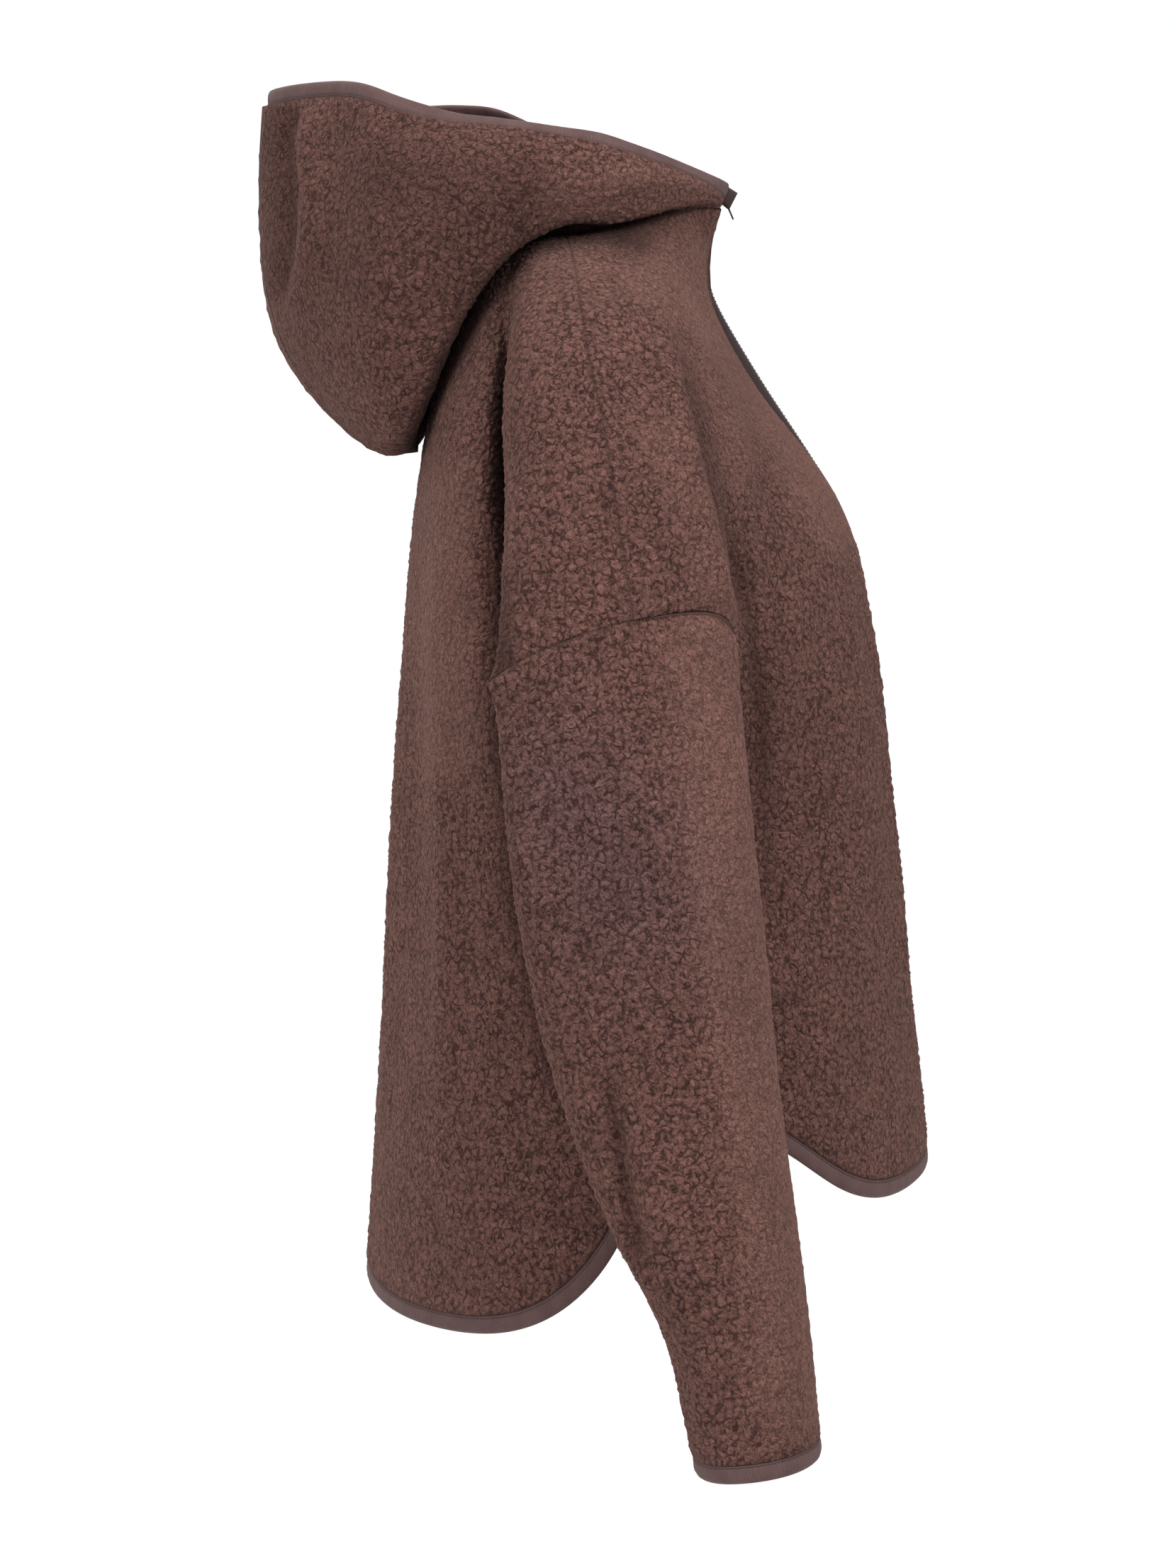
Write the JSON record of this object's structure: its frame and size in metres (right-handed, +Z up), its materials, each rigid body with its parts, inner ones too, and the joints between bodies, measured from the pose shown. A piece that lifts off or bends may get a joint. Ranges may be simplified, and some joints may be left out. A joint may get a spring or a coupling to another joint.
{
  "type": "zip-up hoodie",
  "caption": "Oversized pile-fleece zip-up hoodie in its worn form: dropped shoulders, long sleeves, hood thrown back, bound edges and a curved shirt-tail hem.",
  "frame": {"origin": "The middle of the neck opening at the height of the high shoulder points, where the wearer's shoulders hold the garment.", "axes": "+Z is up, the garment's front faces -Y and its right sleeve is at -X. The sleeves hang down beside the body and the hood lies back toward +Y."},
  "size_m": [0.6048, 0.4122, 0.7808],
  "materials": {
    "fleece": "matte brown pile fleece",
    "jersey_binding": "matte fine-ribbed jersey, folded over the edge",
    "zip_tape": "dark woven tape",
    "zip_teeth": "dark brown moulded teeth, slightly satin",
    "zip_metal": "dark gunmetal"
  },
  "bodies": {
    "garment": {"back": "fleece", "front_left": "fleece", "front_right": "fleece", "sleeve_left": "fleece", "sleeve_right": "fleece", "hood_left": "fleece", "hood_right": "fleece", "hood_binding": "jersey_binding", "hem_binding": "jersey_binding", "cuff_binding_left": "jersey_binding", "cuff_binding_right": "jersey_binding", "zip_tape_left": "zip_tape", "zip_tape_right": "zip_tape", "zip_chain": "zip_teeth", "zip_slider": "zip_metal"},
    "pull_tab": {"zip_pull": "zip_metal"}
  },
  "joints": [
    {"name": "pull_tab_swing", "type": "hinge", "parent": "garment", "child": "pull_tab", "pos_m": [0, -0.08409, 0.02371], "axis": [1, 0, 0], "range_deg": [-135, 34]}
  ]
}
